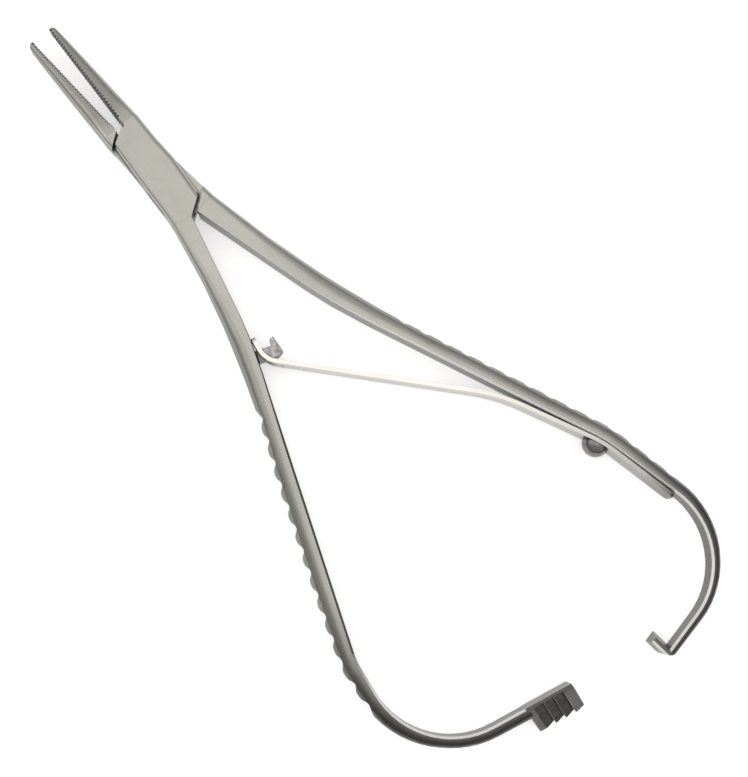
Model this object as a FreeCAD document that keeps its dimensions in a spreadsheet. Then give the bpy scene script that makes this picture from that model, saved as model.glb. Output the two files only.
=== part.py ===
"""Elastic ligature pliers with a box joint, a leaf spring and a three-tooth ratchet.

The pliers lie flat. The origin is on the pivot axis at the underside of the box
joint, +Z is up, +X points to the jaw tips, and the ratchet handle is on the +Y
side. Both halves are drawn closed and then turned apart by the opening angle.
"""
import FreeCAD, Part

import math
import os

import Sketcher

Vector = FreeCAD.Vector
UP = Vector(0, 0, 1)

SIZES = {
    # Box joint
    "box_depth": 4.8,
    "box_front": 9.2,
    "box_rear": 9.4,
    "box_side_front": 2.98,
    "box_side_middle": 3.35,
    "box_side_rear": 3.3,
    "box_edge_radius": 0.9,
    "tongue_depth": 1.6,
    "tongue_gap": 0.05,
    "wall_gap": 0.1,
    "front_shoulder_gap": 0.12,
    "rear_shoulder_gap": 0.22,
    "throat_radius": 0.58,
    "pin_diameter": 3.2,
    "pin_gap": 0.03,
    "opening_angle": 6.4,
    # Jaws
    "jaw_length": 29.1,
    "jaw_root_width": 2.88,
    "jaw_tip_width": 1.1,
    "jaw_swell": 0.06,
    "jaw_tip_depth": 2.5,
    "jaw_tip_radius": 0.8,
    "face_gap_tip": 0.02,
    "ratchet_face_gap": 0.08,
    "hook_face_gap": 0.32,
    "serration_pitch": 0.605,
    "serration_depth": 0.25,
    # Section of both handles
    "blend_step": 0.03,
    "blend_overlap": 0.6,
    "blend_setback": 1.0,
    "handle_depth": 4.4,
    "bow_depth": 4.0,
    "neck_bevel": 0.08,
    "bow_bevel": 0.35,
    "scallop_count": 14,
    "grip_taper": 10.0,
    # Ratchet handle, along its inner face from the box
    "ratchet_start_offset": 0.1,
    "ratchet_neck_length": 21.8,
    "ratchet_neck_angle": 11.15,
    "ratchet_neck_radius": 80.0,
    "ratchet_grip_length": 51.7,
    "ratchet_grip_angle": 19.05,
    "ratchet_heel_length": 18.2,
    "ratchet_heel_angle": 5.9,
    "ratchet_heel_radius": 10.4,
    "ratchet_bow_radius": 13.5,
    "ratchet_end_length": 26.05,
    "ratchet_end_angle": -80.0,
    "ratchet_root_width": 3.42,
    "ratchet_neck_width": 2.95,
    "ratchet_shank_width": 3.15,
    "ratchet_grip_width": 3.12,
    "ratchet_grip_start": 0.9,
    "ratchet_heel_width": 2.65,
    "ratchet_bow_width": 1.9,
    "ratchet_end_width": 2.15,
    "ratchet_scallop_start": 33.8,
    "ratchet_scallop_pitch": 3.54,
    "ratchet_scallop_depth": 0.62,
    # Hook handle, along its inner face from the box
    "hook_start_offset": 0.1,
    "hook_neck_length": 25.45,
    "hook_neck_angle": 11.8,
    "hook_neck_radius": 100.0,
    "hook_grip_length": 47.85,
    "hook_grip_angle": 19.5,
    "hook_heel_length": 27.3,
    "hook_heel_angle": 9.8,
    "hook_heel_radius": 20.0,
    "hook_bow_radius": 13.0,
    "hook_end_length": 21.6,
    "hook_end_angle": -82.4,
    "hook_root_width": 3.7,
    "hook_neck_width": 3.2,
    "hook_shank_width": 3.25,
    "hook_grip_width": 2.78,
    "hook_grip_start": 1.02,
    "hook_heel_width": 2.6,
    "hook_bow_width": 1.7,
    "hook_end_width": 1.4,
    "hook_scallop_start": 36.9,
    "hook_scallop_pitch": 3.67,
    "hook_scallop_depth": 0.42,
    # Toothed rack on the ratchet handle
    "rack_length": 8.0,
    "rack_width": 4.9,
    "rack_land": 0.7,
    "rack_toe_height": 0.12,
    "rack_corner_cut": 1.4,
    "rack_end_land": 1.75,
    "rack_tooth_pitch": 1.75,
    "rack_tooth_depth": 0.42,
    "rack_tooth_count": 3,
    # Hook that drops over the rack
    "hook_leg_length": 4.25,
    "hook_leg_width": 2.0,
    "hook_leg_top_width": 0.95,
    "hook_leg_bevel": 0.4,
    "hook_leg_lean": -5.5,
    "hook_corner_radius": 2.0,
    # Leaf spring, screw and catch
    "spring_thickness": 0.65,
    "spring_width": 4.2,
    "spring_tail_place": 87.0,
    "spring_tail_lift": 0.3,
    "spring_lift_place": 55.4,
    "spring_seat_gap": 0.01,
    "spring_lift_radius": 30.0,
    "spring_rise": 0.62,
    "spring_fold_reach": 0.9,
    "spring_fold_height": 1.0,
    "spring_tip_reach": 2.95,
    "spring_tip_gap": 0.05,
    "spring_tip_radius": 3.5,
    "spring_corner_radius": 0.8,
    "spring_slot_width": 2.3,
    "spring_slot_start": 1.4,
    "spring_slot_length": 4.6,
    "screw_place": 72.5,
    "screw_head_diameter": 4.3,
    "screw_head_height": 2.1,
    "screw_rim_height": 0.3,
    "screw_shank_diameter": 1.8,
    "screw_shank_depth": 1.7,
    "screw_hole_gap": 0.1,
    "catch_place": 24.4,
    "catch_width": 1.9,
    "catch_thickness": 2.0,
    "catch_neck_height": 2.7,
    "catch_height": 4.1,
    "catch_prong": 1.3,
    "catch_tenon_diameter": 1.5,
    "catch_tenon_depth": 1.6,
}

doc = FreeCAD.newDocument("elastic_ligature_pliers")


def make_sheet(sizes):
    """Write every driving size into a spreadsheet, with its name as the alias."""
    sheet = doc.addObject("Spreadsheet::Sheet", "Sizes")
    for row, (name, value) in enumerate(sizes.items(), start=1):
        sheet.set(f"A{row}", name)
        sheet.set(f"B{row}", str(value))
        sheet.setAlias(f"B{row}", name)
    doc.recompute()
    return sheet


sheet = make_sheet(SIZES)
size = sheet.get
middle = size("box_depth") / 2


def turned(vector, degrees):
    """Turn a vector about +Z."""
    angle = math.radians(degrees)
    return Vector(
        vector.x * math.cos(angle) - vector.y * math.sin(angle),
        vector.x * math.sin(angle) + vector.y * math.cos(angle),
        vector.z,
    )


def prism(points, low, high):
    """A straight prism over a closed polygon in plan."""
    corners = [Vector(p.x, p.y, low) for p in points]
    face = Part.Face(Part.makePolygon(corners + corners[:1]))
    return face.extrude(Vector(0, 0, high - low))


def between(start, end, share):
    return start + (end - start) * share


def carve(shape, tool):
    """Cut a tool away and make sure that it took something off."""
    result = shape.cut(tool)
    if result.Volume > shape.Volume - 1e-3:
        raise RuntimeError("a cut took nothing off")
    return result


def stepped(table, place):
    """Read a value at one place along a handle from a table of (place, value)."""
    for (low, first), (high, second) in zip(table, table[1:]):
        if place <= high:
            return between(first, second, (place - low) / (high - low))
    return table[-1][1]


# Paths of straight legs joined by tangent arcs


def legs_to_corners(start, legs, side):
    """Corners of a path from its legs, each a length and a heading away from -X."""
    corners = [start]
    for length, heading in legs:
        angle = math.radians(heading)
        step = Vector(-length * math.cos(angle), side * length * math.sin(angle), 0)
        corners.append(corners[-1] + step)
    return corners


def rounded_path(corners, radii):
    """A wire of straight runs with a tangent arc at each inner corner."""
    edges = []
    current = corners[0]
    for before, corner, after, radius in zip(corners, corners[1:], corners[2:], radii):
        back = (before - corner).normalize()
        ahead = (after - corner).normalize()
        half = back.getAngle(ahead) / 2
        reach = radius / math.tan(half)
        centre = corner + (back + ahead).normalize() * (radius / math.sin(half))
        first = corner + back * reach
        last = corner + ahead * reach
        mid = centre + (corner - centre).normalize() * radius
        edges.append(Part.LineSegment(current, first).toShape())
        edges.append(Part.Arc(first, mid, last).toShape())
        current = last
    edges.append(Part.LineSegment(current, corners[-1]).toShape())
    return Part.Wire(edges)


def along(wire, place):
    """Point and direction at a distance along a wire."""
    left = place
    for edge in wire.OrderedEdges:
        if left <= edge.Length or edge.isSame(wire.OrderedEdges[-1]):
            parameter = edge.getParameterByLength(min(left, edge.Length))
            return edge.valueAt(parameter), edge.tangentAt(parameter).normalize()
        left -= edge.Length


# Bars with a flat inner face and a rounded outer edge


def bar_section(point, outward, width, depth, bevel, round_in, round_up):
    """Section of a bar: a flat inner face, bevelled, and two rounded outer corners."""
    half = depth / 2
    steps = 4
    upper = [(0, half - bevel), (bevel, half)]
    for index in range(steps + 1):
        turn = math.pi / 2 * index / steps
        out = width - round_in * (1 - math.sin(turn))
        upper.append((out, half - round_up * (1 - math.cos(turn))))
    outline = upper + [(out, -up) for out, up in reversed(upper)]
    points = [point + outward * out + UP * (middle + up) for out, up in outline]
    return Part.makePolygon(points + points[:1])


def places_along(path, tables, end):
    """Where sections stand: at every step of the tables and closely in the bends."""
    places = {-size("blend_overlap"), 0, end}
    for table in tables:
        places.update(place for place, value in table if place < end - 0.5)
    travelled = 0
    for edge in path.OrderedEdges:
        turn = edge.tangentAt(edge.FirstParameter).getAngle(edge.tangentAt(edge.LastParameter))
        steps = math.ceil(turn / math.radians(6)) if turn > 1e-6 else 0
        places.update(travelled + edge.Length * step / steps for step in range(1, steps))
        travelled += edge.Length
        if travelled < end - 0.5:
            places.add(travelled)
    kept = []
    for place in sorted(places):
        if not kept or place - kept[-1] > 0.3:
            kept.append(place)
    return kept


def handle_bar(path, side, tables, end):
    """Join a handle's sections by straight faces."""
    widths, depths, rounds, bevels = tables
    radius = size("box_edge_radius")
    sections = []
    for place in places_along(path, tables, end):
        point, ahead = along(path, max(place, 0))
        point = point + ahead * min(place, 0)
        behind = place < 0
        place = max(place, 0)
        inset = size("blend_step") if place == 0 else 0
        outward = turned(ahead, -90 * side)
        setback = size("blend_setback") if behind else 0
        point = point + outward * setback
        width = stepped(widths, place) - inset - setback
        depth = stepped(depths, place) - 2 * inset
        share = stepped(rounds, place)
        sections.append(bar_section(
            point,
            outward,
            width,
            depth,
            stepped(bevels, place),
            between(radius, width * 0.66, share),
            between(radius, depth * 0.44, share),
        ))
    return Part.makeLoft(sections, True, True)


def scallop_cutter(path, side, widths, start, pitch, depth):
    """Everything outside a wave of arcs that dips once for each finger scallop."""
    count = int(size("scallop_count"))
    crest_clearance = 0.02
    crest_share = 0.62
    reach = 3.0

    def edge_point(place, out):
        point, ahead = along(path, place)
        return point + turned(ahead, -90 * side) * (stepped(widths, place) + out)

    crests = []
    valleys = []
    for index in range(count + 1):
        crests.append(edge_point(start + pitch * (index - 0.5), crest_clearance))
    for index in range(count):
        valleys.append(edge_point(start + pitch * index, -depth))
    edges = []
    for index in range(count):
        first = between(crests[index], valleys[index], crest_share)
        last = between(crests[index + 1], valleys[index], crest_share)
        if index == 0:
            edges.append(Part.LineSegment(crests[0], first).toShape())
        edges.append(Part.Arc(first, valleys[index], last).toShape())
        if index < count - 1:
            ahead = between(crests[index + 1], valleys[index + 1], crest_share)
            edges.append(Part.Arc(last, crests[index + 1], ahead).toShape())
        else:
            edges.append(Part.LineSegment(last, crests[count]).toShape())
    rim = [edge_point(start + pitch * (index - 0.5), reach) for index in (count, count // 2, 0)]
    loop = [crests[-1]] + rim + [crests[0]]
    for first, last in zip(loop, loop[1:]):
        edges.append(Part.LineSegment(first, last).toShape())
    face = Part.Face(Part.Wire(edges))
    face.translate(Vector(0, 0, -1))
    return face.extrude(Vector(0, 0, size("box_depth") + 2))


# Jaws


def jaw_bar(side, root_gap):
    """Join a jaw's sections from the box to its tip and cut its face and tip."""
    root = size("box_front")
    length = size("jaw_length")
    steps = 4
    sections = []
    for index in range(-1, steps + 1):
        share = max(index, 0) / steps
        place = between(root, length, share)
        inset = 0
        if index <= 0:
            inset = size("blend_step")
            place += size("blend_overlap") * index
        gap = between(root_gap, size("face_gap_tip"), share)
        gap += size("blend_setback") if index < 0 else 0
        swell = size("jaw_swell") * math.sin(math.pi * share)
        edge = between(size("jaw_root_width"), size("jaw_tip_width"), share) + swell
        width = edge - gap - inset
        depth = between(size("box_depth"), size("jaw_tip_depth"), share ** 0.8) - 2 * inset
        sections.append(bar_section(
            Vector(place, side * gap, 0),
            Vector(0, side, 0),
            width,
            depth,
            0.08,
            between(size("box_edge_radius"), width * 0.55, min(1, share * 3)),
            between(size("box_edge_radius"), depth * 0.4, min(1, share * 3)),
        ))
    jaw = Part.makeLoft(sections, True, True)
    return carve(carve(jaw, tip_corner(side)), serration_cutter(side, root_gap))


def tip_corner(side):
    """The waste outside the rounded outer corner of a jaw tip."""
    radius = size("jaw_tip_radius")
    centre = Vector(size("jaw_length") - radius, side * (size("jaw_tip_width") - radius), 0)
    corners = [
        centre,
        centre + Vector(radius + 1, 0, 0),
        centre + Vector(radius + 1, side * (radius + 2), 0),
        centre + Vector(0, side * (radius + 2), 0),
    ]
    waste = prism(corners, -1, size("box_depth") + 1)
    round_bar = Part.makeCylinder(radius, size("box_depth") + 4, centre - UP * 2)
    return waste.cut(round_bar)


def serration_cutter(side, root_gap):
    """One comb that cuts every cross groove of a jaw face."""
    pitch = size("serration_pitch")
    depth = size("serration_depth")
    first = size("box_front") + 1.2
    last = size("jaw_length") - 0.5
    count = int((last - first) / pitch)
    points = [Vector(first, -side, 0)]
    for index in range(count):
        place = first + pitch * index
        share = (place - first) / (last - first)
        face = between(root_gap, size("face_gap_tip"), share) - 0.02
        points.append(Vector(place, side * face, 0))
        points.append(Vector(place + pitch / 2, side * (face + depth), 0))
    points.append(Vector(first + pitch * count, 0, 0))
    points.append(Vector(first + pitch * count, -side, 0))
    return prism(points, -1, size("box_depth") + 1)


# Box joint. The plates belong to the ratchet half and the tongue to the hook half


def shifted_line(first, second, amount):
    """Move a line in plan to its left by an amount."""
    ahead = (second - first).normalize()
    left = turned(ahead, 90) * amount
    return first + left, second + left


front_shoulder = (Vector(8.85, 0.35, 0), Vector(7.0, 3.2, 0))
rear_shoulder = (Vector(-9.15, -0.55, 0), Vector(-7.1, -3.2, 0))
front_wall = (Vector(5.0, -3.4, 0), Vector(8.7, 0.2, 0))
rear_wall = (Vector(-5.9, 3.6, 0), Vector(-9.1, -0.3, 0))


def stretched(line, amount):
    """Lengthen a line at both ends."""
    ahead = (line[1] - line[0]).normalize() * amount
    return line[0] - ahead, line[1] + ahead


def box_blank(outline):
    """A block over a plan outline with its two long outer edges rounded."""
    block = prism(outline, 0, size("box_depth"))
    limit = size("box_side_front") * 0.85
    long_edges = []
    for edge in block.Edges:
        ends = [vertex.Point for vertex in edge.Vertexes]
        outside = all(abs(point.y) > limit for point in ends)
        flat = abs(ends[0].z - ends[1].z) < 1e-6
        same_side = ends[0].y * ends[1].y > 0
        if outside and flat and same_side and edge.Length > 2:
            long_edges.append(edge)
    return block.makeFillet(size("box_edge_radius"), long_edges)


def handle_start(side, offset):
    return Vector(-size("box_rear"), side * offset, 0)


def handle_root(start, angle, width, side):
    """Outer corner of a handle where it leaves the box."""
    ahead = legs_to_corners(start, [(1, angle)], side)[1] - start
    return start + turned(ahead, -90 * side) * width


def plate_block():
    """The ratchet half's box: two plates with a slot for the tongue between them."""
    start = handle_start(1, size("ratchet_start_offset"))
    root = handle_root(start, size("ratchet_neck_angle"), size("ratchet_root_width"), 1)
    front = shifted_line(*front_shoulder, size("front_shoulder_gap"))
    rear = shifted_line(*rear_shoulder, size("rear_shoulder_gap"))
    outline = [
        Vector(size("box_front"), -size("jaw_root_width"), 0),
        Vector(size("box_front"), -size("ratchet_face_gap"), 0),
        front[0],
        front[1],
        Vector(0, size("box_side_rear"), 0),
        Vector(-7.0, size("box_side_rear"), 0),
        root,
        start,
        rear[0],
        rear[1],
        Vector(0, -size("box_side_middle"), 0),
        Vector(4.6, -size("box_side_front"), 0),
    ]
    block = box_blank(outline)
    low = middle - size("tongue_depth") / 2 - size("tongue_gap")
    high = middle + size("tongue_depth") / 2 + size("tongue_gap")
    front_low, front_high = stretched(front_wall, 2.2)
    rear_high, rear_low = stretched(rear_wall, 2.2)
    beyond = size("box_side_rear") + 3
    slot = prism([
        front_low,
        front_high,
        Vector(front_high.x, beyond, 0),
        Vector(rear_high.x, beyond, 0),
        rear_high,
        rear_low,
        Vector(rear_low.x, -beyond, 0),
        Vector(front_low.x, -beyond, 0),
    ], low, high)
    return carve(block, slot)


def tongue_block():
    """The hook half's box: full depth at its two shoulders, a thin tongue between."""
    start = handle_start(-1, size("hook_start_offset"))
    root = handle_root(start, size("hook_neck_angle"), size("hook_root_width"), -1)
    front = shifted_line(*front_wall, size("wall_gap"))
    rear = shifted_line(*rear_wall, size("wall_gap"))
    outline = [
        Vector(size("box_front"), size("jaw_root_width"), 0),
        Vector(4.6, size("box_side_front"), 0),
        Vector(0, size("box_side_middle"), 0),
        rear[0],
        rear[1],
        start,
        root,
        Vector(0, -size("box_side_middle"), 0),
        front[0],
        front[1],
        Vector(size("box_front"), size("hook_face_gap"), 0),
    ]
    block = box_blank(outline)
    waste = tongue_waste()
    low = middle - size("tongue_depth") / 2
    high = middle + size("tongue_depth") / 2
    block = carve(block, prism(waste, -1, low))
    return carve(block, prism(waste, high, size("box_depth") + 1))


def tongue_waste():
    """Plan of what is milled away above and below the tongue."""
    front_in, front_out = stretched(front_shoulder, 1.2)
    rear_in, rear_out = stretched(rear_shoulder, 1.2)
    beyond = size("box_side_rear") + 3
    return [
        front_in,
        front_out,
        Vector(front_out.x, beyond, 0),
        Vector(rear_in.x, beyond, 0),
        rear_in,
        rear_out,
        Vector(rear_out.x, -beyond, 0),
        Vector(front_in.x, -beyond, 0),
    ]


def upright_hole(diameter, x, y):
    return Part.makeCylinder(diameter / 2, size("box_depth") + 4, Vector(x, y, -2))


# Ratchet handle


def handle_corners(name, side):
    start = handle_start(side, size(name + "_start_offset"))
    return legs_to_corners(start, [
        (size(name + "_neck_length"), size(name + "_neck_angle")),
        (size(name + "_grip_length"), size(name + "_grip_angle")),
        (size(name + "_heel_length"), size(name + "_heel_angle")),
        (size(name + "_end_length"), size(name + "_end_angle")),
    ], side)


def handle_path(name, side):
    radii = [
        size(name + "_neck_radius"),
        size(name + "_heel_radius"),
        size(name + "_bow_radius"),
    ]
    return rounded_path(handle_corners(name, side), radii)


def handle_tables(name, path):
    """Widths, depths and roundness along a handle, tied to its own legs."""
    neck = size(name + "_neck_length")
    grip_end = neck + size(name + "_grip_length")
    first = size(name + "_scallop_start")
    bow_start = path.Length - size(name + "_end_length")
    widths = [
        (0, size(name + "_root_width")),
        (neck * 0.45, size(name + "_neck_width")),
        (neck, size(name + "_shank_width")),
        (first, size(name + "_grip_width") * size(name + "_grip_start")),
        (first + size("grip_taper"), size(name + "_grip_width")),
        (grip_end - size("grip_taper"), size(name + "_grip_width") * 0.97),
        (grip_end + 2, size(name + "_heel_width")),
        (bow_start + 5, size(name + "_bow_width")),
        (path.Length, size(name + "_end_width")),
    ]
    depths = [
        (0, size("box_depth")),
        (neck * 0.5, size("handle_depth")),
        (grip_end, size("handle_depth")),
        (bow_start + 5, size("bow_depth")),
        (path.Length, size("bow_depth")),
    ]
    rounds = [(0, 0.0), (neck, 1.0), (path.Length, 1.0)]
    bevels = [
        (0, 0.05),
        (neck - 4, size("neck_bevel")),
        (first + 5, size("bow_bevel")),
        (path.Length, size("bow_bevel")),
    ]
    return widths, depths, rounds, bevels


def rack_block(path):
    """The toothed rack: a wedge that slopes down to the rear, with three notches."""
    end, ahead = along(path, path.Length)
    rear = Vector(-1, 0, 0)
    depth = size("bow_depth")
    width = size("rack_width")
    land = size("rack_land")
    toe = size("rack_toe_height")
    end = end + UP * (middle - depth / 2)
    base = end - ahead * size("rack_length")

    def at(out, up):
        return base + rear * out + UP * up

    profile = Part.makePolygon([
        at(0, 0), at(width, 0), at(width, toe), at(land, depth), at(0, depth), at(0, 0),
    ])
    wedge = Part.Face(profile).extrude(ahead * size("rack_length"))
    crest = rear * land + UP * depth
    down_slope = (rear * width + UP * toe - crest).normalize()
    into = down_slope.cross(ahead).normalize()
    if into.z > 0:
        into = into * -1
    for index in range(int(size("rack_tooth_count"))):
        step = size("rack_end_land") + size("rack_tooth_pitch") * index
        edge = end - ahead * step + crest - down_slope * 0.15
        ramp_end = edge - ahead * size("rack_tooth_pitch") * 0.98
        notch = Part.Face(Part.makePolygon([
            edge - into * 0.3,
            edge + into * size("rack_tooth_depth"),
            ramp_end,
            ramp_end - into * 0.3,
            edge - into * 0.3,
        ]))
        wedge = carve(wedge, notch.extrude(down_slope * (width * 2)))
    corner = end + rear * width
    reach = size("rack_corner_cut")
    waste = prism([
        corner - ahead * reach,
        corner - rear * (reach * 0.35),
        corner + ahead - rear * (reach * 0.35),
        corner + ahead + rear,
        corner - ahead * reach + rear,
    ], -1, size("box_depth") + 1)
    return carve(wedge, waste)


def make_ratchet_arm(path):
    tables = handle_tables("ratchet", path)
    bar_end = path.Length - size("rack_length") + size("blend_overlap")
    handle = handle_bar(path, 1, tables, bar_end)
    handle = carve(handle, scallop_cutter(
        path,
        1,
        tables[0],
        size("ratchet_scallop_start"),
        size("ratchet_scallop_pitch"),
        size("ratchet_scallop_depth"),
    ))
    shape = plate_block().fuse([handle, jaw_bar(-1, size("ratchet_face_gap")), rack_block(path)])
    throat = upright_hole(2 * size("throat_radius"), size("box_front") - 0.1, 0.35)
    shape = carve(shape, throat)
    shape = carve(shape, upright_hole(size("pin_diameter"), 0, 0))
    return carve(shape, catch_bore())


# Hook handle


def hook_leg(path):
    """The leg turned in at the end of the bow, with a sloped catching face."""
    end, ahead = along(path, path.Length)
    outward = turned(ahead, 90)
    depth = size("bow_depth")
    low = UP * (middle - depth / 2)
    outer = end + outward * size("hook_end_width") + low
    length = size("hook_leg_length")
    face = Part.Face(Part.makePolygon([
        outer,
        outer - ahead * size("hook_leg_width"),
        outer - ahead * size("hook_leg_top_width") + UP * depth,
        outer - ahead * size("hook_leg_bevel") + UP * depth,
        outer + UP * (depth - size("hook_leg_bevel")),
        outer,
    ]))
    return face.extrude(turned(outward, size("hook_leg_lean")) * -length)


def hook_corner(path):
    """The waste outside the rounded outer corner where the leg turns in."""
    end, ahead = along(path, path.Length)
    outward = turned(ahead, 90)
    inward = turned(outward, size("hook_leg_lean")) * -1
    radius = size("hook_corner_radius")
    outer = end + outward * size("hook_end_width")
    back = ahead * -1
    half = back.getAngle(inward) / 2
    centre = outer + (back + inward).normalize() * (radius / math.sin(half))
    reach = radius / math.tan(half)
    beyond = (back + inward).normalize() * -2
    waste = prism([
        centre,
        outer + back * reach,
        outer + back * reach + outward * 2,
        outer + beyond,
        outer + inward * reach + ahead * 2,
        outer + inward * reach,
    ], -1, size("box_depth") + 1)
    return waste.cut(Part.makeCylinder(radius, size("box_depth") + 4, centre - UP * 2))


def make_hook_arm(path):
    tables = handle_tables("hook", path)
    handle = handle_bar(path, -1, tables, path.Length - size("hook_leg_bevel"))
    handle = carve(handle, scallop_cutter(
        path,
        -1,
        tables[0],
        size("hook_scallop_start"),
        size("hook_scallop_pitch"),
        size("hook_scallop_depth"),
    ))
    shape = tongue_block().fuse([handle, jaw_bar(1, size("hook_face_gap")), hook_leg(path)])
    shape = carve(shape, hook_corner(path))
    throat = upright_hole(2 * size("throat_radius"), size("box_front") - 0.1, -0.1)
    shape = carve(shape, throat)
    shape = carve(shape, upright_hole(size("pin_diameter") + 2 * size("pin_gap"), 0, 0))
    return carve(shape, screw_bore(0))


# Leaf spring


def heading(degrees):
    """A direction in plan, counted from +X."""
    return turned(Vector(1, 0, 0), degrees)


def off_ratchet_handle(reach, height):
    """A point off the ratchet handle's inner face, measured from the spring's catch.

    The spring is drawn on the closed hook half, so the point is turned back by the opening.
    """
    point, ahead = along(ratchet_path, size("catch_place") + reach)
    point = point + turned(ahead, 90) * height
    return turned(point, -size("opening_angle"))


def spring_line():
    """The spring's centre line, from its tail on the hook handle to its tip."""
    seat = size("spring_thickness") / 2 + size("spring_seat_gap")
    tail, back = along(hook_path, size("spring_tail_place"))
    lift, ahead = along(hook_path, size("spring_lift_place"))
    tail = tail + turned(back, -90) * (seat + size("spring_tail_lift"))
    lift = lift + turned(ahead, -90) * (seat + size("spring_rise"))
    bend = back.getAngle(ahead) / 2
    heel = handle_corners("hook", -1)[2]
    heel = heel + turned(back + ahead, -90).normalize() * (seat / math.cos(bend))
    fold = off_ratchet_handle(size("spring_fold_reach"), size("spring_fold_height"))
    tip_height = size("spring_thickness") / 2 + size("spring_tip_gap")
    tip = off_ratchet_handle(-size("spring_tip_reach"), tip_height)
    return rounded_path([tail, heel, lift, fold, tip], [
        size("hook_heel_radius") - seat,
        size("spring_lift_radius"),
        size("spring_tip_radius"),
    ])


def make_leaf_spring(line):
    """A flat strip bent along its centre line, with a slot near its tip."""
    start, ahead = along(line, 0)
    across = turned(ahead, 90) * (size("spring_thickness") / 2)
    rise = UP * (size("spring_width") / 2)
    centre = start + UP * middle
    section = Part.makePolygon([
        centre + across + rise,
        centre - across + rise,
        centre - across - rise,
        centre + across - rise,
        centre + across + rise,
    ])
    strip = line.makePipeShell([section], True, True)
    ends = [edge for edge in strip.Edges if is_level_and_short(edge)]
    strip = strip.makeFillet(size("spring_corner_radius"), ends)
    strip = carve(strip, spring_slot(line))
    return carve(strip, screw_bore(0.1))


def is_level_and_short(edge):
    """True for the four edges that run through the strip's thickness at its ends."""
    return abs(edge.Length - size("spring_thickness")) < 1e-3


def spring_slot(line):
    """A cutter for the slot that the catch passes through."""
    tip, ahead = along(line, line.Length)
    across = turned(ahead, 90) * 2.5
    near = tip - ahead * size("spring_slot_start")
    far = near - ahead * size("spring_slot_length")
    half = size("spring_slot_width") / 2
    corners = [near + across, far + across, far - across, near - across]
    return prism(corners, middle - half, middle + half)


def screw_bore(gap):
    """The hole for the screw's shank, square to the hook handle's inner face."""
    point, ahead = along(hook_path, size("screw_place"))
    inward = turned(ahead, -90)
    depth = size("screw_shank_depth") + size("screw_hole_gap")
    start = point + UP * middle - inward * depth
    radius = size("screw_shank_diameter") / 2 + gap
    return Part.makeCylinder(radius, depth + 1.2, start, inward)


def catch_bore():
    """The hole for the catch's tenon in the ratchet handle's inner face."""
    point, ahead = along(ratchet_path, size("catch_place"))
    inward = turned(ahead, 90)
    start = point + UP * middle - inward * size("catch_tenon_depth")
    radius = size("catch_tenon_diameter") / 2
    return Part.makeCylinder(radius, size("catch_tenon_depth") + 0.5, start, inward)


# Small pieces drawn as bodies


def add_sketch(body, role, name):
    """A sketch on one of a body's own origin planes."""
    sketch = body.newObject("Sketcher::SketchObject", name)
    plane = next(item for item in body.Origin.OriginFeatures if item.Role == role)
    sketch.AttachmentSupport = [(plane, "")]
    sketch.MapMode = "FlatFace"
    return sketch


def tie(sketch, kind, geometry, point, name, formula):
    """Drive one coordinate of a sketch point by a formula of the sheet's sizes."""
    index = sketch.addConstraint(Sketcher.Constraint(kind, -1, 1, geometry, point, 1.0))
    sketch.renameConstraint(index, name)
    sketch.setExpression("Constraints." + name, formula)


def polygon_sketch(sketch, rough, formulas):
    """A closed polygon whose corners are tied to pairs of formulas."""
    for first, second in zip(rough, rough[1:] + rough[:1]):
        sketch.addGeometry(Part.LineSegment(Vector(*first, 0), Vector(*second, 0)), False)
    count = len(rough)
    for index in range(count):
        after = (index + 1) % count
        sketch.addConstraint(Sketcher.Constraint("Coincident", index, 2, after, 1))
    for index, (across, up) in enumerate(formulas):
        tie(sketch, "DistanceX", index, 1, f"x{index}", across)
        tie(sketch, "DistanceY", index, 1, f"y{index}", up)


def circle_sketch(sketch, formula):
    sketch.addGeometry(Part.Circle(Vector(0, 0, 0), UP, 1.0), False)
    sketch.addConstraint(Sketcher.Constraint("Coincident", 0, 3, -1, 1))
    index = sketch.addConstraint(Sketcher.Constraint("Diameter", 0, 2.0))
    sketch.renameConstraint(index, "diameter")
    sketch.setExpression("Constraints.diameter", formula)


def make_pivot_pin():
    body = doc.addObject("PartDesign::Body", "pivot_pin")
    sketch = add_sketch(body, "XY_Plane", "pin_circle")
    circle_sketch(sketch, "Sizes.pin_diameter")
    pad = body.newObject("PartDesign::Pad", "pin_length")
    pad.Profile = sketch
    pad.setExpression("Length", "Sizes.box_depth")
    return body


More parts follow.
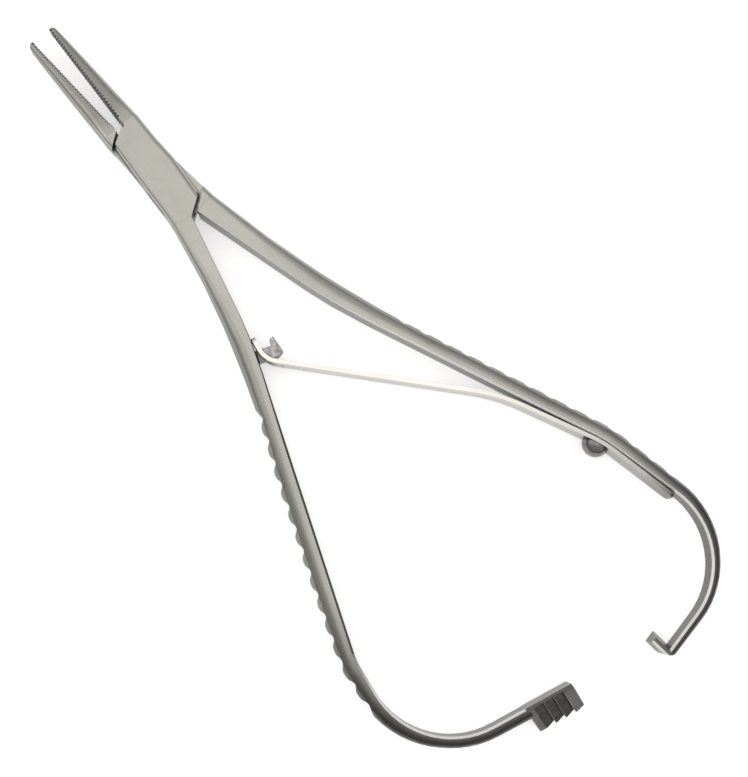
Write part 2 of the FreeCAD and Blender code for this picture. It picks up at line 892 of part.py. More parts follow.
def make_spring_screw():
    """A domed screw, revolved about +Z with the underside of its head at zero."""
    body = doc.addObject("PartDesign::Body", "spring_screw")
    sketch = add_sketch(body, "XZ_Plane", "screw_profile")
    rim = Vector(2.0, 0.3, 0)
    top = Vector(0, 1.2, 0)
    corners = [top, Vector(0, -2, 0), Vector(1, -2, 0), Vector(1, 0, 0), Vector(2, 0, 0), rim]
    for first, second in zip(corners, corners[1:]):
        sketch.addGeometry(Part.LineSegment(first, second), False)
    dome = Part.Arc(rim, Vector(1.2, 0.95, 0), top)
    sketch.addGeometry(dome, False)
    for index in range(4):
        sketch.addConstraint(Sketcher.Constraint("Coincident", index, 2, index + 1, 1))
    sketch.addConstraint(Sketcher.Constraint("Coincident", 5, 1, 4, 2))
    sketch.addConstraint(Sketcher.Constraint("Coincident", 5, 2, 0, 1))
    sketch.addConstraint(Sketcher.Constraint("PointOnObject", 5, 3, -2))
    shank = "-Sizes.screw_shank_depth - Sizes.spring_thickness - 2 * Sizes.spring_seat_gap"
    formulas = [
        ("0", "Sizes.screw_head_height"),
        ("0", shank),
        ("Sizes.screw_shank_diameter / 2", shank),
        ("Sizes.screw_shank_diameter / 2", "0"),
        ("Sizes.screw_head_diameter / 2", "0"),
    ]
    for index, (across, up) in enumerate(formulas):
        tie(sketch, "DistanceX", index, 1, f"x{index}", across)
        tie(sketch, "DistanceY", index, 1, f"y{index}", up)
    tie(sketch, "DistanceX", 4, 2, "rim_radius", "Sizes.screw_head_diameter / 2")
    tie(sketch, "DistanceY", 4, 2, "rim_height", "Sizes.screw_rim_height")
    turn = body.newObject("PartDesign::Revolution", "screw_turning")
    turn.Profile = sketch
    turn.ReferenceAxis = (sketch, ["V_Axis"])
    turn.Angle = 360.0
    return body


def make_spring_catch():
    """A flat hooked catch standing in +Y from its foot, with a round tenon below."""
    body = doc.addObject("PartDesign::Body", "spring_catch")
    sketch = add_sketch(body, "XY_Plane", "catch_outline")
    half = "Sizes.catch_width / 2"
    neck = "Sizes.catch_neck_height"
    rough = [
        (-1, 0), (-1, 2.7), (-2, 2.7), (-2.3, 3.4), (0.5, 4.1), (1.1, 3.1), (1, 0),
    ]
    polygon_sketch(sketch, rough, [
        ("-" + half, "0"),
        ("-" + half, neck),
        (f"-{half} - 0.75 * Sizes.catch_prong", neck),
        (f"-{half} - Sizes.catch_prong", f"({neck} + Sizes.catch_height) / 2"),
        (f"0.55 * {half}", "Sizes.catch_height"),
        (f"1.15 * {half}", "0.75 * Sizes.catch_height"),
        (half, "0"),
    ])
    pad = body.newObject("PartDesign::Pad", "catch_plate")
    pad.Profile = sketch
    pad.Midplane = True
    pad.setExpression("Length", "Sizes.catch_thickness")
    foot = add_sketch(body, "XZ_Plane", "tenon_circle")
    circle_sketch(foot, "Sizes.catch_tenon_diameter")
    tenon = body.newObject("PartDesign::Pad", "catch_tenon")
    tenon.Profile = foot
    tenon.setExpression("Length", "Sizes.catch_tenon_depth")
    doc.recompute()
    if tenon.Shape.BoundBox.YMin > -0.1:
        tenon.Reversed = True
    return body


# Placing and exporting


def frame_at(point, across, upward):
    """A placement whose local X and Y point along two directions in plan."""
    normal = across.cross(upward)
    matrix = FreeCAD.Matrix(
        across.x, upward.x, normal.x, point.x,
        across.y, upward.y, normal.y, point.y,
        across.z, upward.z, normal.z, point.z,
        0, 0, 0, 1,
    )
    return FreeCAD.Placement(matrix)


def half_turn(side):
    """The placement that opens one half by its share of the opening angle."""
    turn = -side * size("opening_angle") / 2
    return FreeCAD.Placement(Vector(0, 0, 0), FreeCAD.Rotation(UP, turn))


def catch_place():
    point, ahead = along(ratchet_path, size("catch_place"))
    return frame_at(point + UP * middle, ahead, turned(ahead, 90))


def screw_place():
    """Where the head's rim rests on the hollow side of the bent spring."""
    point, ahead = along(hook_path, size("screw_place"))
    inward = turned(ahead, -90)
    lift = size("spring_thickness") + 2 * size("spring_seat_gap")
    bend = size("hook_heel_radius") - lift
    rise = bend - math.sqrt(bend ** 2 - (size("screw_head_diameter") / 2) ** 2)
    return frame_at(point + UP * middle + inward * (lift + rise), ahead, UP)


def add_feature(name, shape, placement):
    feature = doc.addObject("Part::Feature", name)
    feature.Shape = shape
    feature.Placement = placement
    return feature


def export(features):
    """Check every piece and write one file for each."""
    os.makedirs("parts", exist_ok=True)
    doc.recompute()
    for item in doc.Objects:
        if "Invalid" in item.State or "Error" in item.State:
            raise RuntimeError(item.Name + " did not compute")
    for feature in features:
        feature.Label = feature.Name
        shape = feature.Shape
        if shape.isNull() or not shape.isValid() or len(shape.Solids) != 1:
            raise RuntimeError(feature.Name + " is not one valid solid")
        shape.Solids[0].exportStep("parts/" + feature.Name + ".step")


ratchet_path = handle_path("ratchet", 1)
hook_path = handle_path("hook", -1)
opened_ratchet = half_turn(1)
opened_hook = half_turn(-1)

pivot_pin = make_pivot_pin()
spring_screw = make_spring_screw()
spring_catch = make_spring_catch()
pivot_pin.Placement = opened_ratchet
spring_screw.Placement = opened_hook.multiply(screw_place())
spring_catch.Placement = opened_ratchet.multiply(catch_place())

export([
    add_feature("ratchet_arm", make_ratchet_arm(ratchet_path), opened_ratchet),
    add_feature("hook_arm", make_hook_arm(hook_path), opened_hook),
    add_feature("leaf_spring", make_leaf_spring(spring_line()), opened_hook),
    pivot_pin,
    spring_screw,
    spring_catch,
])
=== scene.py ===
"""Elastic ligature pliers: brushed steel, a finely sliced leaf spring, a pale floor and a soft studio."""
import math

import bmesh
import bpy
from mathutils import Matrix, Vector


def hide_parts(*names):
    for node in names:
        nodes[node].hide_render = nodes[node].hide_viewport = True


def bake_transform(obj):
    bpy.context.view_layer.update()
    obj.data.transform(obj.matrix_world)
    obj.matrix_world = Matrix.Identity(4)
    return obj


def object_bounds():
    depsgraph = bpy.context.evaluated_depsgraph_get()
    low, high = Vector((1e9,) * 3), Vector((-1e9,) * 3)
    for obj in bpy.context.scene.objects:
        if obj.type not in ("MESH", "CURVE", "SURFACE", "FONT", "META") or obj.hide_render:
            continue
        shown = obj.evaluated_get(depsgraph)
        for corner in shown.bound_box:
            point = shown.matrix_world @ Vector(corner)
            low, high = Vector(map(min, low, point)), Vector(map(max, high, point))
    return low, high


MM = 0.001

# Places on the pliers in millimetres, from the pivot towards the jaw tips along X
BOX_REAR = -12
JAW_ROOT = 9.2
SERRATED_FROM = 9.8
FIRST_TOOTH = 10.2
JAW_TIP = 29.1
SERRATION_PITCH = 0.605
BOW_START = -76
BETWEEN_HANDLES = Vector((-85, -2, 0))
# The rack is what lies further than RACK_REACH along RACK_AHEAD, the way the ratchet handle ends
RACK_AHEAD = Vector((-0.2284, -0.9736, 0))
RACK_REACH = 12.2
# Each half is turned this far from the pliers' mid-line when the jaws are open
OPEN_HALF = math.radians(3.2)

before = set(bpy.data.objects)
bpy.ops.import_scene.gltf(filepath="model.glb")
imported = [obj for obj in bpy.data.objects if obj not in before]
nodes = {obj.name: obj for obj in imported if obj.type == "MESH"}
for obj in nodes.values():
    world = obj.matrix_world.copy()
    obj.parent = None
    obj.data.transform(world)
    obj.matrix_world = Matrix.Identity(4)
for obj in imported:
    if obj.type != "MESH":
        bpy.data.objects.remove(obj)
cad_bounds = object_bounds()


# Shading of the solids

# Edges that turn by fewer degrees than this are shaded smoothly
SMOOTH_ANGLE = 36
# The power of a face's area that weighs its normal on a domed handle
DOMED_POWER = 0.25
# Corners count as one place when they agree to this many steps in a metre
STEPS_IN_METRE = 2e6


def corners_by_place(mesh):
    corners_at = {}
    for face in mesh.polygons:
        for number in face.loop_indices:
            place = mesh.vertices[mesh.loops[number].vertex_index].co
            key = tuple(round(value * STEPS_IN_METRE) for value in place)
            corners_at.setdefault(key, []).append((number, face))
    return corners_at


def set_soft_normals(piece, domed):
    """Shades a faceted solid smoothly across its shallow edges.

    On a domed piece, small faces behind the box count nearly as much as large ones, so that
    the handles' flats look domed.
    """
    mesh = piece.data
    least = math.cos(math.radians(SMOOTH_ANGLE))
    normals = [None] * len(mesh.loops)
    for corners in corners_by_place(mesh).values():
        for number, face in corners:
            total = Vector((0, 0, 0))
            for _, other in corners:
                if face.normal.dot(other.normal) > least:
                    on_handle = domed and other.center.x < MM * BOX_REAR
                    total += other.normal * other.area ** (DOMED_POWER if on_handle else 1)
            normals[number] = total.normalized() if total.length > 0 else face.normal.copy()
    for face in mesh.polygons:
        face.use_smooth = True
    mesh.normals_split_custom_set(normals)


def dress(piece, materials, pick=None, domed=False):
    """Gives a piece its materials, one for each face as pick says, and soft shading."""
    mesh = piece.data
    mesh.materials.clear()
    for material in materials:
        mesh.materials.append(material)
    for face in mesh.polygons:
        face.material_index = pick(face.center / MM, face.normal) if pick else 0
    set_soft_normals(piece, domed)


# Parts of a material

# The stretch of a noise that a remapped value uses unless told otherwise
NOISE_LOW = 0.3
NOISE_HIGH = 0.7


def node_tree(name):
    material = bpy.data.materials.new(name)
    material.use_nodes = True
    tree = material.node_tree
    tree.nodes.clear()
    return material, tree


def add_node(tree, kind, inputs=None, **settings):
    node = tree.nodes.new(kind)
    for key, value in settings.items():
        setattr(node, key, value)
    for key, value in (inputs or {}).items():
        node.inputs[key].default_value = value
    return node


def remapped(tree, value, low, high, start=NOISE_LOW, end=NOISE_HIGH):
    """A value that goes from low to high as the given one goes from start to end."""
    node = add_node(tree, "ShaderNodeMapRange",
                    {"From Min": start, "From Max": end, "To Min": low, "To Max": high})
    tree.links.new(value, node.inputs["Value"])
    return node.outputs["Result"]


def calculated(tree, operation, first, second=None):
    """A math node; first and second are numbers or outputs."""
    node = add_node(tree, "ShaderNodeMath", operation=operation)
    for slot, value in enumerate((first, second)):
        if isinstance(value, (int, float)):
            node.inputs[slot].default_value = value
        elif value is not None:
            tree.links.new(value, node.inputs[slot])
    return node.outputs[0]


def dot_product(tree, first, second):
    node = add_node(tree, "ShaderNodeVectorMath", operation="DOT_PRODUCT")
    tree.links.new(first, node.inputs[0])
    tree.links.new(second, node.inputs[1])
    return node.outputs["Value"]


def mixed(tree, factor, first, second):
    """A colour mix; first and second are colours or outputs."""
    mix = add_node(tree, "ShaderNodeMix", data_type="RGBA")
    for slot, value in (("A", first), ("B", second)):
        if isinstance(value, tuple):
            mix.inputs[slot].default_value = (*value, 1)
        else:
            tree.links.new(value, mix.inputs[slot])
    tree.links.new(factor, mix.inputs["Factor"])
    return mix.outputs["Result"]


def place_on_piece(tree):
    """The object-space coordinates, whole in the first node and apart in the second."""
    where = add_node(tree, "ShaderNodeTexCoord")
    apart = add_node(tree, "ShaderNodeSeparateXYZ")
    tree.links.new(where.outputs["Object"], apart.inputs["Vector"])
    return where, apart


def noise_in_mm(tree, size, detail, stretch=(1, 1, 1)):
    """A noise whose features are about size millimetres across in object space."""
    where = add_node(tree, "ShaderNodeTexCoord")
    scale = add_node(tree, "ShaderNodeMapping", {"Scale": [1 / (MM * size * s) for s in stretch]})
    noise = add_node(tree, "ShaderNodeTexNoise", {"Scale": 1, "Detail": detail, "Roughness": 0.6})
    tree.links.new(where.outputs["Object"], scale.inputs["Vector"])
    tree.links.new(scale.outputs["Vector"], noise.inputs["Vector"])
    return noise.outputs["Fac"]


# Worn edges, which also carry a painted highlight, or painted shade where the edge colour is darker: a
# surface is all edge and not edge at these dot products of its two normals
BEVEL_SAMPLES = 6
ALL_EDGE = 0.74
NOT_EDGE = 0.93


def edge_amount(tree, radius):
    """How far the surface is rounded over by a bevel of that radius: 0 on a flat, more at an edge."""
    bevel = add_node(tree, "ShaderNodeBevel", {"Radius": MM * radius}, samples=BEVEL_SAMPLES)
    plain = add_node(tree, "ShaderNodeNewGeometry")
    agreement = dot_product(tree, bevel.outputs["Normal"], plain.outputs["Normal"])
    return remapped(tree, agreement, 1, 0, ALL_EDGE, NOT_EDGE)


# Painted shade in the serrations' grooves as they show on a jaw's top, in millimetres
GROOVE_REACH = 0.38
CREST_REACH = 0.03
CREST_MARGIN = 0.06
GROOVE_MARGIN = 0.02
TIP_GAP = 0.02


def painted_groove_shade(tree, turn, root_gap):
    """Where painted shade darkens the serrations' grooves along a jaw's gripping face: 1 in a groove and 0
    elsewhere.

    The gripping face lies root_gap off the turned mid-line at the jaw's root and TIP_GAP at its tip.
    """
    where = add_node(tree, "ShaderNodeTexCoord")
    turned = add_node(tree, "ShaderNodeMapping", {"Rotation": (0, 0, turn), "Scale": [1 / MM] * 3})
    apart = add_node(tree, "ShaderNodeSeparateXYZ")
    tree.links.new(where.outputs["Object"], turned.inputs["Vector"])
    tree.links.new(turned.outputs["Vector"], apart.inputs["Vector"])
    half_pitch = SERRATION_PITCH / 2
    from_crest = calculated(tree, "PINGPONG", apart.outputs["X"], half_pitch)
    reach = remapped(tree, from_crest, CREST_REACH, GROOVE_REACH, CREST_MARGIN, half_pitch - GROOVE_MARGIN)
    gap = remapped(tree, apart.outputs["X"], root_gap, TIP_GAP, JAW_ROOT, JAW_TIP)
    off_line = calculated(tree, "ABSOLUTE", apart.outputs["Y"])
    off_face = calculated(tree, "SUBTRACT", off_line, gap)
    inside = calculated(tree, "LESS_THAN", off_face, reach)
    on_jaw = calculated(tree, "GREATER_THAN", apart.outputs["X"], FIRST_TOOTH)
    return calculated(tree, "MULTIPLY", inside, on_jaw)


def zone_shade(tree, zones):
    """A factor that darkens the tone along X: painted shade on the bows and the spring's tail, and darker
    jaws. Each zone (start, end, factor) fades from 1 to factor along X in mm.
    """
    _, apart = place_on_piece(tree)
    shade = 1.0
    for start, end, factor in zones:
        zone = remapped(tree, apart.outputs["X"], 1, factor, MM * start, MM * end)
        shade = calculated(tree, "MULTIPLY", zone, shade)
    return shade


# Painted shade: a domed handle loses this part of its tone between the two tilts, from the one X to the
# other
DOME_LOSS = 0.45
DOME_LEAST_TILT = 0.02
DOME_FULL_TILT = 0.55
DOME_START = -8
DOME_END = -22


def painted_dome_shade(tree):
    """A factor of painted shade on the tone, which falls as a handle tilts away from the space between the
    handles.
    """
    where, apart = place_on_piece(tree)
    away = add_node(tree, "ShaderNodeVectorMath", operation="SUBTRACT")
    away.inputs[1].default_value = BETWEEN_HANDLES * MM
    unit = add_node(tree, "ShaderNodeVectorMath", operation="NORMALIZE")
    tree.links.new(where.outputs["Object"], away.inputs[0])
    tree.links.new(away.outputs["Vector"], unit.inputs[0])
    tilt = dot_product(tree, unit.outputs["Vector"], where.outputs["Normal"])
    lost = remapped(tree, tilt, 0, DOME_LOSS, DOME_LEAST_TILT, DOME_FULL_TILT)
    on_handle = remapped(tree, apart.outputs["X"], 0, 1, MM * DOME_START, MM * DOME_END)
    lost = calculated(tree, "MULTIPLY", lost, on_handle)
    return calculated(tree, "SUBTRACT", 1.0, lost)


# Steel, with lengths in millimetres
STAIN_DETAIL = 3
GRAIN_SIZE = 0.1
BRUSHED_SIZE = 0.09
BRUSHED_STRETCH = (24, 1, 1)
GRAIN_DETAIL = 2
GRAIN_HEIGHT = 0.003
GRAIN_STRENGTH = 0.35
SMOOTHEST = -0.06
ROUGHEST = 0.07
# Painted shade in crevices and contact lines, darker where a point sees little open space
CREVICE_SAMPLES = 8
CREVICE_DARK = 0.25
CREVICE_CLEAR = 0.85


def stained(tree, colour, stain_mm, stain_depth):
    stain = remapped(tree, noise_in_mm(tree, stain_mm, STAIN_DETAIL), 0.0, 1.0)
    darker = tuple(channel * (1 - stain_depth) for channel in colour)
    return mixed(tree, stain, darker, colour)


def brushed_grain(tree):
    """An even mix of a fine noise and one that is drawn out along the pliers."""
    grain = noise_in_mm(tree, GRAIN_SIZE, GRAIN_DETAIL)
    brushed = noise_in_mm(tree, BRUSHED_SIZE, GRAIN_DETAIL, BRUSHED_STRETCH)
    return calculated(tree, "ADD", calculated(tree, "MULTIPLY", grain, 0.5),
                      calculated(tree, "MULTIPLY", brushed, 0.5))


def steel(name, colour, edge_colour, crevice_shade_colour, roughness, stain_mm=9, stain_depth=0.10,
          edge_radius=0.04, crevice_reach=0.7, jaw=None, zones=(), domed=False, metallic=1.0):
    """Satin steel: brushed grain, soft stains, worn edges with a painted highlight or shade, painted shade
    in contact lines, grooves and crevices, and zones and a dome that darken the tone.
    """
    material, tree = node_tree(name)
    link = tree.links.new
    out = add_node(tree, "ShaderNodeOutputMaterial")
    shader = add_node(tree, "ShaderNodeBsdfPrincipled", {"Metallic": metallic})
    link(shader.outputs["BSDF"], out.inputs["Surface"])

    tone = stained(tree, colour, stain_mm, stain_depth)
    # Darker jaws, and painted shade along the bows and over the domed handles
    if zones:
        shade = zone_shade(tree, zones)
        if domed:
            shade = calculated(tree, "MULTIPLY", painted_dome_shade(tree), shade)
        shaded = add_node(tree, "ShaderNodeVectorMath", operation="SCALE")
        link(tone, shaded.inputs[0])
        link(shade, shaded.inputs["Scale"])
        tone = shaded.outputs["Vector"]
    # Edges take the edge colour: wear and a painted highlight, or painted shade where it is darker
    tone = mixed(tree, edge_amount(tree, edge_radius), tone, edge_colour)
    # Painted shade in the serrations' grooves
    if jaw:
        tone = mixed(tree, painted_groove_shade(tree, *jaw), tone, crevice_shade_colour)
    # Painted shade in crevices and contact lines
    hollow = add_node(tree, "ShaderNodeAmbientOcclusion", {"Distance": MM * crevice_reach},
                      samples=CREVICE_SAMPLES)
    open_sky = remapped(tree, hollow.outputs["AO"], 0, 1, CREVICE_DARK, CREVICE_CLEAR)
    link(mixed(tree, open_sky, crevice_shade_colour, tone), shader.inputs["Base Color"])

    grain = brushed_grain(tree)
    link(remapped(tree, grain, roughness + SMOOTHEST, roughness + ROUGHEST), shader.inputs["Roughness"])
    bump = add_node(tree, "ShaderNodeBump", {"Strength": GRAIN_STRENGTH, "Distance": MM * GRAIN_HEIGHT})
    rounded = add_node(tree, "ShaderNodeBevel", {"Radius": MM * edge_radius}, samples=BEVEL_SAMPLES)
    link(grain, bump.inputs["Height"])
    link(rounded.outputs["Normal"], bump.inputs["Normal"])
    link(bump.outputs["Normal"], shader.inputs["Normal"])
    return material


# Which copy of the steel each face has: the satin, or a copy with a painted highlight or painted shade on
# the bevels, walls, teeth, rack and notches. A face's level is 1 where it lies flat and 0 where it is a
# wall

WALL_LEVEL = 0.3
BEVEL_LOW = 0.66
BEVEL_HIGH = 0.76
RACK_TOP_LEVEL = 0.985
RACK_END_FACING = 0.8
NOTCH_FACING = 0.08
GRIPPING_FACING = -0.3
STRIP_TOP_LEVEL = 0.6
SATIN, INNER_BEVEL, BOW_BEVEL, SIDE, TEETH, RACK, NOTCH = range(7)


def rack_painted_light_pick(normal, level):
    facing_end = abs(RACK_AHEAD.dot(normal))
    if facing_end > RACK_END_FACING:
        return SATIN
    if facing_end > NOTCH_FACING and level > WALL_LEVEL:
        return NOTCH
    return RACK


def arm_painted_light_pick(side):
    """Picks the satin or a copy with a painted highlight or painted shade for each face of one half; side
    is the way its handle lies in Y.
    """
    def pick(centre, normal):
        level = abs(normal.z)
        inward = normal.dot(BETWEEN_HANDLES - Vector((centre.x, centre.y, 0))) > 0
        if centre.x > SERRATED_FROM and level < WALL_LEVEL and normal.y * side > GRIPPING_FACING:
            return TEETH
        if side > 0 and RACK_AHEAD.dot(centre) > RACK_REACH and level < RACK_TOP_LEVEL:
            return rack_painted_light_pick(normal, level)
        if centre.x < BOX_REAR and BEVEL_LOW < level < BEVEL_HIGH and inward:
            return BOW_BEVEL if centre.x < BOW_START else INNER_BEVEL
        if level < WALL_LEVEL:
            return SIDE
        return SATIN
    return pick


def lit_top_shaded_sides_pick(centre, normal):
    """Picks the first material, a lit copy, for faces that lie flat and the second, a copy with painted
    shade, for the others.
    """
    return 0 if abs(normal.z) > STRIP_TOP_LEVEL else 1


# The two halves. Zones are (start, end, factor) with the places along X in millimetres; they darken the
# jaws and paint shade on the bows, their sides and the ratchet's bevel before its bow

JAW_ZONE = (9.6, 13, 0.72)
RATCHET_BOW_ZONE = (-68, -88, 0.26)
HOOK_BOW_ZONE = (-78, -96, 0.32)
BOW_SIDE_ZONE = (-84, -97, 0.6)
BOW_BEVEL_SHADE_ZONE = (-84, BOW_START, 0.16)
RATCHET_ROOT_GAP = 0.10
HOOK_ROOT_GAP = 0.32
SATIN_STEEL = (0.42, 0.410, 0.380)
# The inner bevels: a dark copy of the steel with painted shade, or a bright copy with a painted highlight
PAINTED_SHADE_BEVEL = (0.12, 0.117, 0.11)
PAINTED_HIGHLIGHT_BEVEL = (0.92, 0.91, 0.88)
# A low metallic value keeps the bevel's painted highlight white where it mirrors nothing bright
BRIGHT_METALLIC = 0.35


def arm_satin(half, jaw, bow_zone):
    return steel(half + "_satin", SATIN_STEEL, (0.50, 0.49, 0.46), (0.04, 0.037, 0.033), 0.27,
                 jaw=jaw, zones=(JAW_ZONE, bow_zone), domed=True)


# A bevel as a copy of the steel with a painted highlight or painted shade
def arm_bevel(name, colour, metallic, zones=()):
    return steel(name, colour, colour, (0.05, 0.048, 0.045), 0.24, metallic=metallic, zones=zones)


# The walls: a darker copy of the steel, painted shade
def arm_side(half):
    return steel(half + "_side", (0.17, 0.166, 0.156), (0.36, 0.35, 0.33), (0.03, 0.028, 0.025), 0.33,
                 zones=(BOW_SIDE_ZONE,))


# The serrated walls: a nearly black copy of the steel, painted shade
def arm_serration(half):
    return steel(half + "_serration", (0.08, 0.078, 0.076), (0.34, 0.33, 0.32), (0.01, 0.01, 0.01), 0.40)


# The rack's slope: a dark copy of the steel, painted shade, with a painted highlight along its edges
def arm_rack(half):
    return steel(half + "_rack", (0.14, 0.136, 0.136), (0.46, 0.45, 0.44), (0.02, 0.019, 0.019), 0.30,
                 stain_mm=1.5, stain_depth=0.30, edge_radius=0.14)


# The notches: a darker copy still, painted shade, with a painted highlight along their edges
def arm_notch(half):
    return steel(half + "_notch", (0.055, 0.053, 0.053), (0.46, 0.45, 0.44), (0.02, 0.019, 0.019), 0.30,
                 stain_mm=1.0, stain_depth=0.60, edge_radius=0.14)


def arm_materials(half, satin, inner_bevel, bow_bevel):
    """The materials of one half in the order of SATIN to NOTCH."""
    return [satin, inner_bevel, bow_bevel, arm_side(half), arm_serration(half), arm_rack(half),
            arm_notch(half)]


def dress_ratchet_arm():
    satin = arm_satin("ratchet", (OPEN_HALF, RATCHET_ROOT_GAP), RATCHET_BOW_ZONE)
    inner_bevel = arm_bevel("ratchet_inner_bevel", PAINTED_SHADE_BEVEL, 1.0)
    bow_bevel = arm_bevel("ratchet_bow_bevel", PAINTED_HIGHLIGHT_BEVEL, BRIGHT_METALLIC, (BOW_BEVEL_SHADE_ZONE,))
    materials = arm_materials("ratchet", satin, inner_bevel, bow_bevel)
    dress(nodes["ratchet_arm"], materials, arm_painted_light_pick(1), domed=True)


def dress_hook_arm():
    satin = arm_satin("hook", (-OPEN_HALF, HOOK_ROOT_GAP), HOOK_BOW_ZONE)
    inner_bevel = arm_bevel("hook_inner_bevel", PAINTED_HIGHLIGHT_BEVEL, BRIGHT_METALLIC)
    bow_bevel = arm_bevel("hook_bow_bevel", PAINTED_HIGHLIGHT_BEVEL, BRIGHT_METALLIC)
    materials = arm_materials("hook", satin, inner_bevel, bow_bevel)
    dress(nodes["hook_arm"], materials, arm_painted_light_pick(-1), domed=True)


# The small pieces

def dress_pin():
    pin = steel("pin", SATIN_STEEL, SATIN_STEEL, (0.36, 0.35, 0.32), 0.27, edge_radius=0.01)
    dress(nodes["pivot_pin"], [pin])


def dress_screw():
    # Worn edges with a painted highlight, and painted shade reaching far under the head
    screw = steel("screw", (0.24, 0.232, 0.225), (0.34, 0.33, 0.32), (0.01, 0.01, 0.01), 0.16,
                  stain_mm=1.2, stain_depth=0.5, crevice_reach=1.8)
    dress(nodes["spring_screw"], [screw])


# A lit copy for the top with a painted shade rim, and a dark copy with painted shade for the sides
def dress_catch():
    top = steel("catch_top", (0.46, 0.44, 0.43), (0.05, 0.046, 0.045), (0.03, 0.026, 0.025), 0.28,
                stain_mm=0.9, stain_depth=0.6, edge_radius=0.26, crevice_reach=1.0)
    side = steel("catch_side", (0.07, 0.066, 0.063), (0.20, 0.19, 0.185), (0.02, 0.02, 0.02), 0.30,
                 edge_radius=0.12)
    dress(nodes["spring_catch"], [top, side], lit_top_shaded_sides_pick)


# Leaf spring: the solid's own form with cuts close together along X

# Painted shade towards the spring's tail
SPRING_ZONES = ((-58, -88, 0.50), (-86, -92, 0.30))
SPRING_EDGE_RADIUS = 0.05
SLICE_STEP = MM * 1.2
SAME_POINT = 1e-7
ON_CUT = 1e-8


def spring_materials():
    # The top edge is a lit copy with a painted highlight, the broad faces a copy with painted shade
    edge = steel("spring_edge", (0.76, 0.74, 0.70), (0.88, 0.87, 0.84), (0.14, 0.12, 0.11), 0.26,
                 edge_radius=SPRING_EDGE_RADIUS, zones=SPRING_ZONES)
    face = steel("spring_face", (0.50, 0.49, 0.465), (0.40, 0.39, 0.37), (0.04, 0.036, 0.034), 0.28,
                 edge_radius=SPRING_EDGE_RADIUS, zones=SPRING_ZONES)
    return [edge, face]


def sliced_copy(source, name, step):
    """A copy of a solid with cuts every step metres along X, which leaves its form as it is."""
    mesh = source.data.copy()
    mesh.name = name
    work = bmesh.new()
    work.from_mesh(mesh)
    bmesh.ops.remove_doubles(work, verts=work.verts, dist=SAME_POINT)
    low = min(vertex.co.x for vertex in work.verts)
    high = max(vertex.co.x for vertex in work.verts)
    for number in range(1, int((high - low) / step) + 1):
        everything = work.verts[:] + work.edges[:] + work.faces[:]
        bmesh.ops.bisect_plane(work, geom=everything, plane_co=(low + number * step, 0, 0),
                               plane_no=(1, 0, 0), dist=ON_CUT)
    work.to_mesh(mesh)
    work.free()
    piece = bpy.data.objects.new(name, mesh)
    bpy.context.scene.collection.objects.link(piece)
    return piece


dress_ratchet_arm()
dress_hook_arm()
dress_pin()
dress_screw()
dress_catch()
strip_materials = spring_materials()
dress(nodes["leaf_spring"], strip_materials, lit_top_shaded_sides_pick)
spring = sliced_copy(nodes["leaf_spring"], "leaf_spring_bending", SLICE_STEP)
dress(spring, strip_materials, lit_top_shaded_sides_pick)
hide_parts("leaf_spring")
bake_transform(spring)


# Floor, with lengths in metres

FLOOR_REACH = 3.0
FLOOR_GAP = MM * 0.05
PAPER = (0.82, 0.82, 0.81, 1)
PAPER_GLOW = (1, 1, 0.995, 1)
PAPER_GLOW_STRENGTH = 0.52


def seen_directly(tree):
    """1 for camera, transmission and glossy rays, 0 for the others."""
    path = add_node(tree, "ShaderNodeLightPath")
    shown = calculated(tree, "MAXIMUM", path.outputs["Is Camera Ray"],
                       path.outputs["Is Transmission Ray"])
    return calculated(tree, "MAXIMUM", shown, path.outputs["Is Glossy Ray"])


def floor_material():
    """Pale paper that glows a little where it is seen, so that it renders white round the shadow."""
    material, tree = node_tree("pale_floor")
    out = add_node(tree, "ShaderNodeOutputMaterial")
    paper = add_node(tree, "ShaderNodeBsdfDiffuse", {"Color": PAPER})
    glow = add_node(tree, "ShaderNodeEmission", {"Color": PAPER_GLOW, "Strength": PAPER_GLOW_STRENGTH})
    both = add_node(tree, "ShaderNodeAddShader")
    pick = add_node(tree, "ShaderNodeMixShader")
    tree.links.new(paper.outputs[0], both.inputs[0])
    tree.links.new(glow.outputs[0], both.inputs[1])
    tree.links.new(seen_directly(tree), pick.inputs["Fac"])
    tree.links.new(paper.outputs[0], pick.inputs[1])
    tree.links.new(both.outputs[0], pick.inputs[2])
    tree.links.new(pick.outputs[0], out.inputs["Surface"])
    return material


def pale_floor():
    corners = [(-FLOOR_REACH, -FLOOR_REACH, 0), (FLOOR_REACH, -FLOOR_REACH, 0),
               (FLOOR_REACH, FLOOR_REACH, 0), (-FLOOR_REACH, FLOOR_REACH, 0)]
    mesh = bpy.data.meshes.new("floor")
    mesh.from_pydata(corners, [], [(0, 1, 2, 3)])
    floor = bpy.data.objects.new("floor", mesh)
    bpy.context.scene.collection.objects.link(floor)
    floor.location.z = cad_bounds[0][2] - FLOOR_GAP
    mesh.materials.append(floor_material())


# Light, with lengths in metres and power in watts

SKY_COLOUR = (1.0, 0.99, 0.97, 1)
HORIZON_HEIGHT = 0.05
HORIZON_STRENGTH = 0.46
ZENITH_STRENGTH = 1.00
LAMP_COLOUR = (1.0, 0.985, 0.965)
LAMP_SIDE = 0.5
LAMP_TARGET = Vector((-0.05, 0, 0))
OVERHEAD_PLACE = Vector((-0.04, -0.02, 0.60))
OVERHEAD_POWER = 0.35
SIDE_PLACE = Vector((0.45, 0.35, 0.50))
SIDE_POWER = 0.5


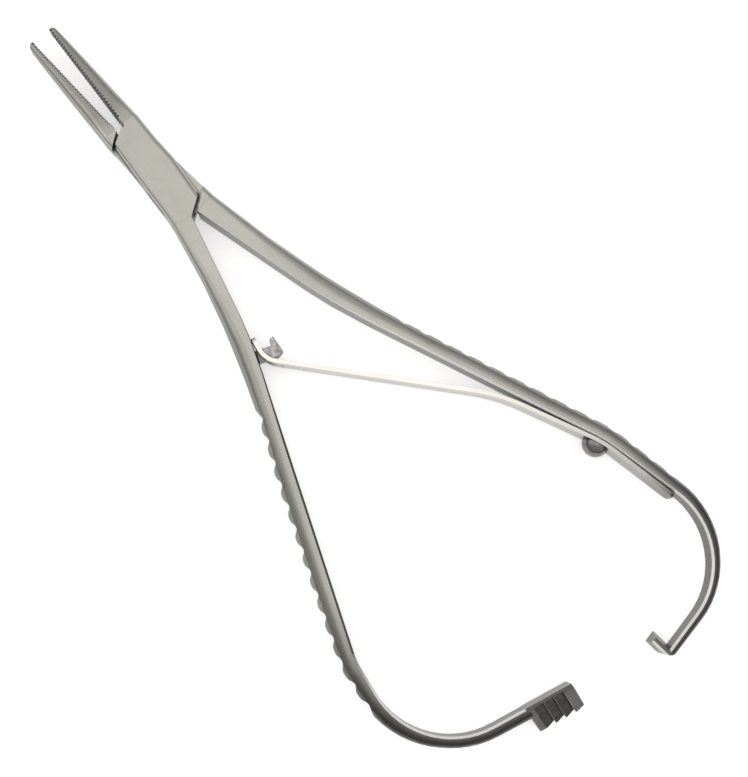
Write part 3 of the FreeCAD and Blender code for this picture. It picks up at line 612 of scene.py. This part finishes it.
def studio_world():
    """A plain sky that is brightest overhead."""
    world = bpy.data.worlds.new("studio")
    bpy.context.scene.world = world
    world.use_nodes = True
    tree = world.node_tree
    tree.nodes.clear()
    out = add_node(tree, "ShaderNodeOutputWorld")
    sky = add_node(tree, "ShaderNodeBackground", {"Color": SKY_COLOUR})
    where = add_node(tree, "ShaderNodeTexCoord")
    apart = add_node(tree, "ShaderNodeSeparateXYZ")
    tree.links.new(where.outputs["Generated"], apart.inputs["Vector"])
    strength = remapped(tree, apart.outputs["Z"], HORIZON_STRENGTH, ZENITH_STRENGTH, HORIZON_HEIGHT, 1)
    tree.links.new(strength, sky.inputs["Strength"])
    tree.links.new(sky.outputs[0], out.inputs["Surface"])


def soft_lamp(name, place, power):
    data = bpy.data.lights.new(name, "AREA")
    data.shape = "RECTANGLE"
    data.size = LAMP_SIDE
    data.size_y = LAMP_SIDE
    data.energy = power
    data.color = LAMP_COLOUR
    lamp = bpy.data.objects.new(name, data)
    bpy.context.scene.collection.objects.link(lamp)
    lamp.location = place
    lamp.rotation_euler = (LAMP_TARGET - place).to_track_quat("-Z", "Y").to_euler()


# Camera, fitted to the outline in the photo; its lens and sensor are in millimetres

CAMERA_PLACE = Vector((-61.2377, 21.8190, 200.3445)) * MM
CAMERA_TARGET = Vector((-48.3960, -3.7359, 2.4)) * MM
CAMERA_UP = Vector((0.75628, -0.64084, 0.13180))
CAMERA_LENS = 59.027
CAMERA_SENSOR = 36
CAMERA_NEAREST = MM * 10


def photo_camera():
    data = bpy.data.cameras.new("photo_camera")
    data.sensor_fit = "VERTICAL"
    data.sensor_height = CAMERA_SENSOR
    data.lens = CAMERA_LENS
    data.clip_start = CAMERA_NEAREST
    camera = bpy.data.objects.new("photo_camera", data)
    bpy.context.scene.collection.objects.link(camera)
    back = (CAMERA_PLACE - CAMERA_TARGET).normalized()
    right = CAMERA_UP.cross(back).normalized()
    up = back.cross(right)
    turn = Matrix((right, up, back)).transposed().to_4x4()
    camera.matrix_world = Matrix.Translation(CAMERA_PLACE) @ turn
    bpy.context.scene.camera = camera


pale_floor()
studio_world()
soft_lamp("overhead_light", OVERHEAD_PLACE, OVERHEAD_POWER)
soft_lamp("side_light", SIDE_PLACE, SIDE_POWER)
photo_camera()
bpy.context.scene.view_settings.view_transform = "Standard"
